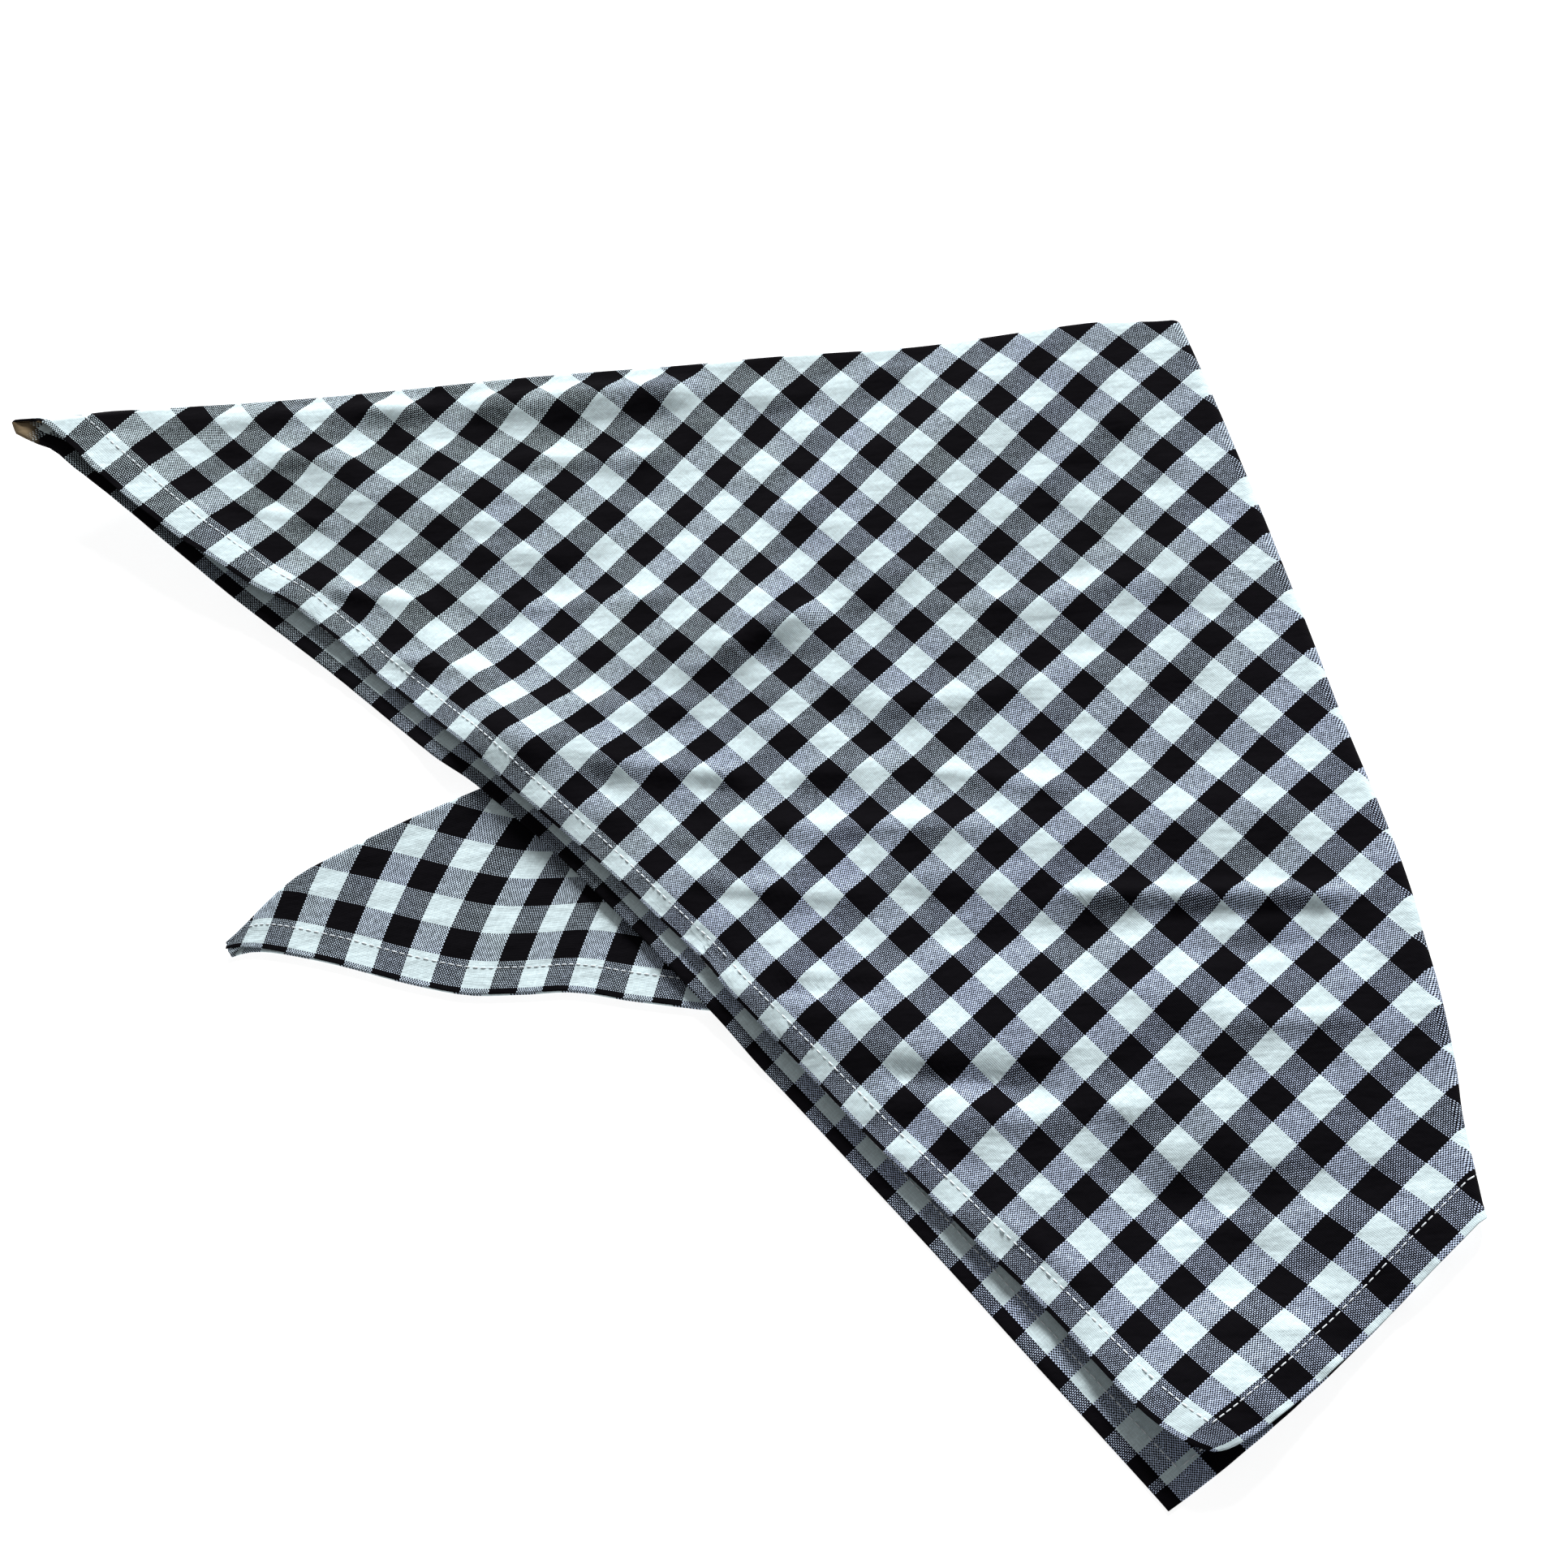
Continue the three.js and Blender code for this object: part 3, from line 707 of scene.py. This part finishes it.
class Nodes:
    """Writes a material's node tree: a call adds a node or a few, and gives back what they put out."""

    def __init__(self, name):
        self.material = bpy.data.materials.new(name)
        self.material.use_nodes = True
        self.tree = self.material.node_tree
        self.tree.nodes.clear()

    def node(self, kind, **settings):
        made = self.tree.nodes.new(kind)
        for key, value in settings.items():
            setattr(made, key, value)
        return made

    def put(self, socket, value):
        if isinstance(value, bpy.types.NodeSocket):
            self.tree.links.new(value, socket)
        else:
            socket.default_value = value

    def math(self, operation, *values):
        made = self.node("ShaderNodeMath", operation=operation)
        for socket, value in zip(made.inputs, values):
            self.put(socket, value)
        return made.outputs[0]

    def blend(self, part, start, end):
        made = self.node("ShaderNodeMix", data_type="RGBA")
        self.put(made.inputs[0], part)
        self.put(made.inputs[6], start)
        self.put(made.inputs[7], end)
        return made.outputs[2]

    def noise(self, vector, scale, detail=2.0):
        made = self.node("ShaderNodeTexNoise")
        self.put(made.inputs["Vector"], vector)
        self.put(made.inputs["Scale"], scale)
        self.put(made.inputs["Detail"], detail)
        return made.outputs["Fac"]

    def random(self, value):
        made = self.node("ShaderNodeTexWhiteNoise", noise_dimensions="1D")
        self.put(made.inputs["W"], value)
        return made.outputs["Value"]

    def parts(self, vector):
        made = self.node("ShaderNodeSeparateXYZ")
        self.put(made.inputs[0], vector)
        return made.outputs

    def times(self, vector, other):
        made = self.node("ShaderNodeVectorMath", operation="MULTIPLY")
        self.put(made.inputs[0], vector)
        self.put(made.inputs[1], other)
        return made.outputs[0]

    def scaled(self, vector, scale):
        made = self.node("ShaderNodeVectorMath", operation="SCALE")
        self.put(made.inputs[0], vector)
        self.put(made.inputs["Scale"], scale)
        return made.outputs[0]

    def within(self, value, low, high):
        return self.math("MINIMUM", self.math("MAXIMUM", value, low), high)

    def place(self):
        return self.node("ShaderNodeTexCoord").outputs["Object"]

    def bump(self, height, strength, depth, normal=None):
        """Depth is in millimetres."""
        made = self.node("ShaderNodeBump")
        self.put(made.inputs["Height"], height)
        if normal is not None:
            self.put(made.inputs["Normal"], normal)
        made.inputs["Strength"].default_value = strength
        made.inputs["Distance"].default_value = depth * MM
        return made.outputs[0]

    def surface(self, colour, roughness, specular, normal=None):
        """The shader and the material's output; gives back the shader's node."""
        shader = self.node("ShaderNodeBsdfPrincipled")
        self.put(shader.inputs["Base Color"], colour)
        if normal is not None:
            self.put(shader.inputs["Normal"], normal)
        shader.inputs["Roughness"].default_value = roughness
        shader.inputs["Specular IOR Level"].default_value = specular
        output = self.node("ShaderNodeOutputMaterial")
        self.put(output.inputs["Surface"], shader.outputs[0])
        return shader


# Yarn colours, and the tints of the mixed checks
WHITE_YARN = (0.60, 0.72, 0.75, 1.0)
BLACK_YARN = (0.0034, 0.0030, 0.0042, 1.0)
NO_TINT = (1.0, 1.0, 1.0, 1.0)
MIXED_TINT_WARM = (1.01, 1.01, 1.04, 1.0)
MIXED_TINT_COOL = (0.98, 0.955, 1.19, 1.0)

# The cool tint grows towards the lower right, in patches
COOL = {"slope": 1.6, "middle": 0.5}
COOL_PATCHES = {"scale": 26.0, "range": 1.8, "least": -0.9}

# Shape of the yarns: how high their waves are and how round they are, how far lengthwise yarns lie
# over crosswise ones, how far black ones spread over white ones, partly their own spread and partly
# painted shade that they cast beside them, and how far two neighbours lie towards each other
YARN_HEIGHT = 1.0
YARN_ROUND = 1.15
LENGTHWISE_OVER = 0.66
BLACK_SPREAD_AND_SHADE = 0.97
PAIRED = 0.12

# Tones: of single yarns each way, of thick places along them, painted shade in the gaps between them,
# and of fine specks
LENGTHWISE_TONE = {"range": 0.14, "least": 0.93}
CROSSWISE_TONE = {"range": 0.16, "least": 0.92, "other_yarns": 4000.5}
SLUB = {"scale": 330.0, "range": 0.34, "least": 0.83}
GAP_SHADE_PAINTED = {"limit": 0.6, "slope": 0.10, "middle": 0.96}
SPECKLE = {"scale": 400.0, "by": 0.62, "mixed": 2.6, "plain": 0.35}

# Painted warm bounce light on the wrong side at tip A: its colour, how far it reaches, and its soft edge
TIP_PAINTED_BOUNCE_LIGHT = (0.20, 0.15, 0.09, 1.0)
TIP_SPAN = 13.0
TIP_SOFT = 4.0

# Fine relief of worn cotton and of its yarns, depths in millimetres
WORN = {"drawn_out": (0.42, 1.0, 0.3), "scale": 120.0, "strength": 0.5, "depth": 2.6}
YARN_RELIEF = {"strength": 0.5, "depth": 0.07}
COTTON = {"roughness": 0.95, "specular": 0.04}


def stripe(n, yarn, yarns, black_from):
    """1 where this yarn is black, from its number."""
    checks = n.math("DIVIDE", n.math("ADD", yarn, 0.5), float(yarns))
    turn = n.math("FRACT", n.math("MULTIPLY", n.math("SUBTRACT", checks, black_from), 0.5))
    return n.math("LESS_THAN", turn, 0.5)


def over_hem(n, part):
    """The weave's place on the turned hem, which shows the cloth's other face beyond its edge."""
    near, far = HEM_WIDTH / SIDE, 1.0 - HEM_WIDTH / SIDE
    low = n.math("LESS_THAN", part, near)
    high = n.math("GREATER_THAN", part, far)
    turned_low = n.math("MULTIPLY", low, n.math("MULTIPLY", part, -2.0))
    turned_high = n.math("MULTIPLY", high, n.math("MULTIPLY", n.math("SUBTRACT", 1.0, part), 2.0))
    return n.math("ADD", part, n.math("ADD", turned_low, turned_high))


def yarn_wave(n, other, yarn):
    """How a yarn rises and dips, by its number and the place along it, in yarns that cross it."""
    turns = n.math("SUBTRACT", n.math("SUBTRACT", other, 0.5), yarn)
    return n.math("COSINE", n.math("MULTIPLY", turns, math.pi))


def gingham(name, wrong_side):
    """The checked cloth as single yarns, seen from its right or its wrong side."""
    n = Nodes(name)
    uv = n.node("ShaderNodeUVMap", uv_map="weave").outputs["UV"]
    whole_u, whole_v, _ = n.parts(uv)
    part_u, part_v = whole_u, whole_v
    if wrong_side:
        part_u, part_v = over_hem(n, part_u), over_hem(n, part_v)
    u = n.math("MULTIPLY", part_u, CHECKS_U * YARNS_U)
    v = n.math("MULTIPLY", part_v, CHECKS_V * YARNS_V)
    yarn_u, yarn_v = n.math("FLOOR", u), n.math("FLOOR", v)
    black_u = stripe(n, yarn_u, YARNS_U, BLACK_FROM_U)
    black_v = stripe(n, yarn_v, YARNS_V, BLACK_FROM_V)

    # Lengthwise yarns lie in pairs, so each is shifted towards its neighbour
    odd = n.math("FLOORED_MODULO", yarn_u, 2.0)
    pair = n.math("MULTIPLY", n.math("SUBTRACT", odd, 0.5), 2.0 * PAIRED)
    across_u = n.math("ADD", n.math("MULTIPLY", n.math("FRACT", u), 2.0), n.math("SUBTRACT", pair, 1.0))
    across_v = n.math("SUBTRACT", n.math("MULTIPLY", n.math("FRACT", v), 2.0), 1.0)
    wave_u, wave_v = yarn_wave(n, v, yarn_u), yarn_wave(n, u, yarn_v)
    round_u = n.math("MULTIPLY", n.math("MULTIPLY", across_u, across_u), YARN_ROUND)
    round_v = n.math("MULTIPLY", n.math("MULTIPLY", across_v, across_v), YARN_ROUND)
    height_u = n.math("SUBTRACT", n.math("MULTIPLY", wave_u, YARN_HEIGHT), round_u)
    height_v = n.math("SUBTRACT", n.math("MULTIPLY", wave_v, -YARN_HEIGHT), round_v)
    # Black yarns win over white ones by this much: partly their own spread, partly painted shade cast
    # beside them
    spread = n.math("MULTIPLY", n.math("SUBTRACT", black_u, black_v), BLACK_SPREAD_AND_SHADE)
    lead = n.math("ADD", n.math("ADD", height_u, LENGTHWISE_OVER), spread)
    on_top = n.math("GREATER_THAN", lead, height_v)

    # Each yarn has its own tone and uneven places, and the mixed checks a tint
    own_u, own_v = n.random(yarn_u), n.random(n.math("ADD", yarn_v, CROSSWISE_TONE["other_yarns"]))
    tone_u = n.math("MULTIPLY_ADD", own_u, LENGTHWISE_TONE["range"], LENGTHWISE_TONE["least"])
    tone_v = n.math("MULTIPLY_ADD", own_v, CROSSWISE_TONE["range"], CROSSWISE_TONE["least"])
    slub = n.math("MULTIPLY_ADD", n.noise(uv, SLUB["scale"], 3.0), SLUB["range"], SLUB["least"])
    mixed = n.math("ABSOLUTE", n.math("SUBTRACT", black_u, black_v))
    is_black = n.math("ADD", n.math("MULTIPLY", on_top, n.math("SUBTRACT", black_u, black_v)), black_v)
    colour = n.blend(is_black, WHITE_YARN, BLACK_YARN)
    place_of = n.place()
    x, y, _ = n.parts(place_of)
    lower_right = n.math("MULTIPLY_ADD", n.math("SUBTRACT", x, y), COOL["slope"], COOL["middle"])
    patchy = n.noise(place_of, COOL_PATCHES["scale"], 3.0)
    patch = n.math("MULTIPLY_ADD", patchy, COOL_PATCHES["range"], COOL_PATCHES["least"])
    cool = n.within(n.math("ADD", lower_right, patch), 0.0, 1.0)
    tint = n.blend(mixed, NO_TINT, n.blend(cool, MIXED_TINT_WARM, MIXED_TINT_COOL))
    tone = n.math("ADD", n.math("MULTIPLY", on_top, n.math("SUBTRACT", tone_u, tone_v)), tone_v)
    # Painted shade: the gaps between the yarns are darker where the top yarn lies low
    height = n.math("MAXIMUM", height_u, height_v)
    between = n.within(height, -GAP_SHADE_PAINTED["limit"], GAP_SHADE_PAINTED["limit"])
    hollow = n.math("MULTIPLY_ADD", between, GAP_SHADE_PAINTED["slope"], GAP_SHADE_PAINTED["middle"])
    tone = n.math("MULTIPLY", n.math("MULTIPLY", tone, slub), hollow)
    speckle = n.math("SUBTRACT", n.noise(uv, SPECKLE["scale"], 3.0), 0.5)
    mixed_by, plain_by = SPECKLE["mixed"] * SPECKLE["by"], SPECKLE["plain"] * SPECKLE["by"]
    speckle = n.math("MULTIPLY", speckle, n.math("MULTIPLY_ADD", mixed, mixed_by, plain_by))
    tone = n.math("MULTIPLY", tone, n.math("ADD", speckle, 1.0))
    cover = n.scaled(n.times(colour, tint), tone)
    if wrong_side:
        # Painted warm bounce light, in place of the cloth's own colour, on the wrong side near tip A
        from_tip = n.math("ADD", whole_u, whole_v)
        bounce_light_part = n.math("MULTIPLY", n.math("SUBTRACT", TIP_SPAN / SIDE, from_tip), SIDE / TIP_SOFT)
        cover = n.blend(n.within(bounce_light_part, 0.0, 1.0), cover, TIP_PAINTED_BOUNCE_LIGHT)

    rumple = n.noise(n.times(place_of, WORN["drawn_out"]), WORN["scale"], 3.0)
    worn = n.bump(rumple, WORN["strength"], WORN["depth"])
    yarns = n.bump(height, YARN_RELIEF["strength"], YARN_RELIEF["depth"], worn)
    n.surface(cover, COTTON["roughness"], COTTON["specular"], yarns)
    return n.material


# Sewing thread: distance of its line from the edge, spacing, and size of each stitch
STITCH = {"line": 9.0, "pitch": 2.65, "length": 1.85, "radius": 0.2, "sides": 6}
RIGHT_HEM_STITCH_IN = 1.3

# Shape of a stitch: place along it, and height above the cloth in thread radii
STITCH_RINGS = ((-0.5, -0.9), (-0.36, 0.25), (0.0, 0.6), (0.36, 0.25), (0.5, -0.9))

# Steps over which slopes are taken, on the cloth and along a stitch
SLOPE_STEP = 0.6
AHEAD_STEP = 0.2

THREAD_SHADED = (0.62, 0.68, 0.72, 1.0)
THREAD_LIT = (0.86, 0.90, 0.92, 1.0)
THREAD = {"twist": 2600.0, "strength": 0.4, "depth": 0.05, "roughness": 0.7, "specular": 0.25}


def thread_material():
    n = Nodes("white_thread")
    twist = n.noise(n.place(), THREAD["twist"])
    colour = n.blend(twist, THREAD_SHADED, THREAD_LIT)
    twisted = n.bump(twist, THREAD["strength"], THREAD["depth"])
    n.surface(colour, THREAD["roughness"], THREAD["specular"], twisted)
    return n.material


def from_square(u, v):
    """Place along the first fold, distance from it and side, for square coordinates."""
    along = (u + v) / ROOT2
    across = (u - v) / ROOT2 - FOLD_OFF_DIAGONAL
    return along, np.abs(across), np.where(across >= 0, 1, -1)


def surface_point(u, v, lift):
    """Points on the cloth and its normals there, lift away from its middle on the right side."""
    def at(du, dv):
        return place(*from_square(u + du, v + dv))

    span_u = at(SLOPE_STEP, 0.0) - at(-SLOPE_STEP, 0.0)
    span_v = at(0.0, SLOPE_STEP) - at(0.0, -SLOPE_STEP)
    normal = np.cross(span_u, span_v)
    normal = normal / np.linalg.norm(normal, axis=-1, keepdims=True)
    return at(0.0, 0.0) + normal * np.reshape(lift, (-1, 1)), normal


def stitch_rings(u, v, du, dv, face_side):
    """The rings of points round every stitch of one hem, on one side of the cloth."""
    level = CLOTH / 2 if face_side > 0 else CLOTH / 2 + FLAP
    shift = 0.0 if face_side > 0 else STITCH["pitch"] / 2
    turn = np.arange(STITCH["sides"]) * (2 * math.pi / STITCH["sides"])
    rings = []
    for part, depth in STITCH_RINGS:
        ahead = part * STITCH["length"] + shift
        further = ahead + AHEAD_STEP
        lift = face_side * (level + depth * STITCH["radius"]) + 0 * u
        centre, normal = surface_point(u + du * ahead, v + dv * ahead, lift)
        step, _ = surface_point(u + du * further, v + dv * further, lift)
        along = step - centre
        along = along / np.linalg.norm(along, axis=-1, keepdims=True)
        sideways = np.cross(normal, along)
        around = (
            sideways[:, None] * np.cos(turn)[None, :, None]
            + normal[:, None] * np.sin(turn)[None, :, None] * face_side
        )
        rings.append(centre[:, None] + around * STITCH["radius"])
    return np.stack(rings, 1)


def stitch_faces(count, first):
    """Four-sided faces between the rings of count stitches, whose points start at number first."""
    ring, rings = STITCH["sides"], len(STITCH_RINGS)
    base = first + np.arange(count)[:, None, None] * (rings * ring)
    step = np.arange(rings - 1)[None, :, None] * ring
    k = np.arange(ring)[None, None, :]
    k_next = (k + 1) % ring
    corners = [base + step + k, base + step + k_next]
    corners += [base + step + ring + k_next, base + step + ring + k]
    return np.stack(corners, -1).reshape(-1, 4)


def build_stitches():
    """Every stitch of the four hems on both sides of the cloth, joined in one mesh."""
    count = int((SIDE - 2 * STITCH["line"]) / STITCH["pitch"])
    start = STITCH["line"] + STITCH["pitch"] * (np.arange(count) + 0.5)
    near, far = np.full(count, STITCH["line"]), np.full(count, SIDE - STITCH["line"])
    hems = (
        (start, near, 1, 0),
        (start, far, 1, 0),
        (near, start, 0, 1),
        (far - RIGHT_HEM_STITCH_IN, start, 0, 1),
    )
    vertices, faces = [], []
    for face_side in (1, -1):
        for u, v, du, dv in hems:
            first = sum(len(block) for block in vertices)
            vertices.append(stitch_rings(u, v, du, dv, face_side).reshape(-1, 3))
            faces.append(stitch_faces(count, first))
    points = np.concatenate(vertices)
    points[:, 2] = np.maximum(points[:, 2], THREAD_CLEAR)
    return new_object("hem_stitches", to_scene(points), np.concatenate(faces))


# The floor glows as much as it needs to show as white as the photograph's background
FLOOR = {"reach": 12.0, "roughness": 0.9, "glow": 0.86}
FLOOR_COLOUR = (0.42, 0.42, 0.42)
FLOOR_MOTTLE = {"scale": 180.0, "darker": 0.99}


def floor_material():
    n = Nodes("pale_floor")
    darker = tuple(part * FLOOR_MOTTLE["darker"] for part in FLOOR_COLOUR)
    tone = n.blend(n.noise(n.place(), FLOOR_MOTTLE["scale"]), darker + (1.0,), FLOOR_COLOUR + (1.0,))
    shader = n.surface(tone, FLOOR["roughness"], 0.0)
    shader.inputs["Emission Color"].default_value = (1.0, 1.0, 1.0, 1.0)
    shader.inputs["Emission Strength"].default_value = FLOOR["glow"]
    return n.material


def build_floor():
    reach = FLOOR["reach"]
    corners = np.array([(-reach, -reach, 0), (reach, -reach, 0), (reach, reach, 0), (-reach, reach, 0)])
    made = new_object("floor", corners, np.array([[0, 1, 2, 3]]))
    made.data.materials.append(floor_material())
    return made


CAMERA_AT = (169.9, -334.0, 712.9)
CAMERA_RIGHT = (0.9724, 0.0, -0.2334)
CAMERA_UP = (0.09965, 0.90427, 0.41517)
CAMERA_BACK = (0.21105, -0.42696, 0.87929)
SENSOR = 36.0
LENS = 57.6


def build_camera():
    data = bpy.data.cameras.new("camera")
    data.sensor_width = SENSOR
    data.sensor_fit = "HORIZONTAL"
    data.lens = LENS
    camera = bpy.data.objects.new("camera", data)
    bpy.context.scene.collection.objects.link(camera)
    matrix = Matrix.Identity(4)
    for column, axis in enumerate((CAMERA_RIGHT, CAMERA_UP, CAMERA_BACK)):
        for row in range(3):
            matrix[row][column] = axis[row]
    place_at = to_scene(np.array(CAMERA_AT))
    for row in range(3):
        matrix[row][3] = place_at[row]
    camera.matrix_world = matrix
    bpy.context.scene.camera = camera


# Soft studio light: a lamp beyond the first fold, wide in radians, and even light from all round
KEY = {"toward": (0.18, 0.98), "height_degrees": 30.0, "strength": 5.9, "width": 0.35}
KEY_AT = (0.3, 0.95, 0.8)
ALL_ROUND = 0.27


def build_light():
    world = bpy.data.worlds.new("studio")
    bpy.context.scene.world = world
    world.use_nodes = True
    background = world.node_tree.nodes["Background"]
    background.inputs["Color"].default_value = (1.0, 1.0, 1.0, 1.0)
    background.inputs["Strength"].default_value = ALL_ROUND
    data = bpy.data.lights.new("key", "SUN")
    data.energy = KEY["strength"]
    data.angle = KEY["width"]
    light = bpy.data.objects.new("key", data)
    rise = math.tan(math.radians(KEY["height_degrees"])) * math.hypot(*KEY["toward"])
    light.rotation_euler = Vector((*KEY["toward"], rise)).to_track_quat("Z", "Y").to_euler()
    light.location = KEY_AT
    bpy.context.scene.collection.objects.link(light)
    bpy.context.scene.view_settings.view_transform = "Standard"
    bpy.context.scene.view_settings.look = "None"
    bpy.context.scene.view_settings.exposure = 0.0


build_camera()
build_light()
floor = build_floor()

cloth = build_cloth()
cloth.data.materials.append(gingham("checked_cotton", False))
cloth.data.materials.append(gingham("checked_cotton_wrong_side", True))
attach(cloth, "root")
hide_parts("scarf_cloth")

stitches = build_stitches()
stitches.data.materials.append(thread_material())
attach(stitches, "root")
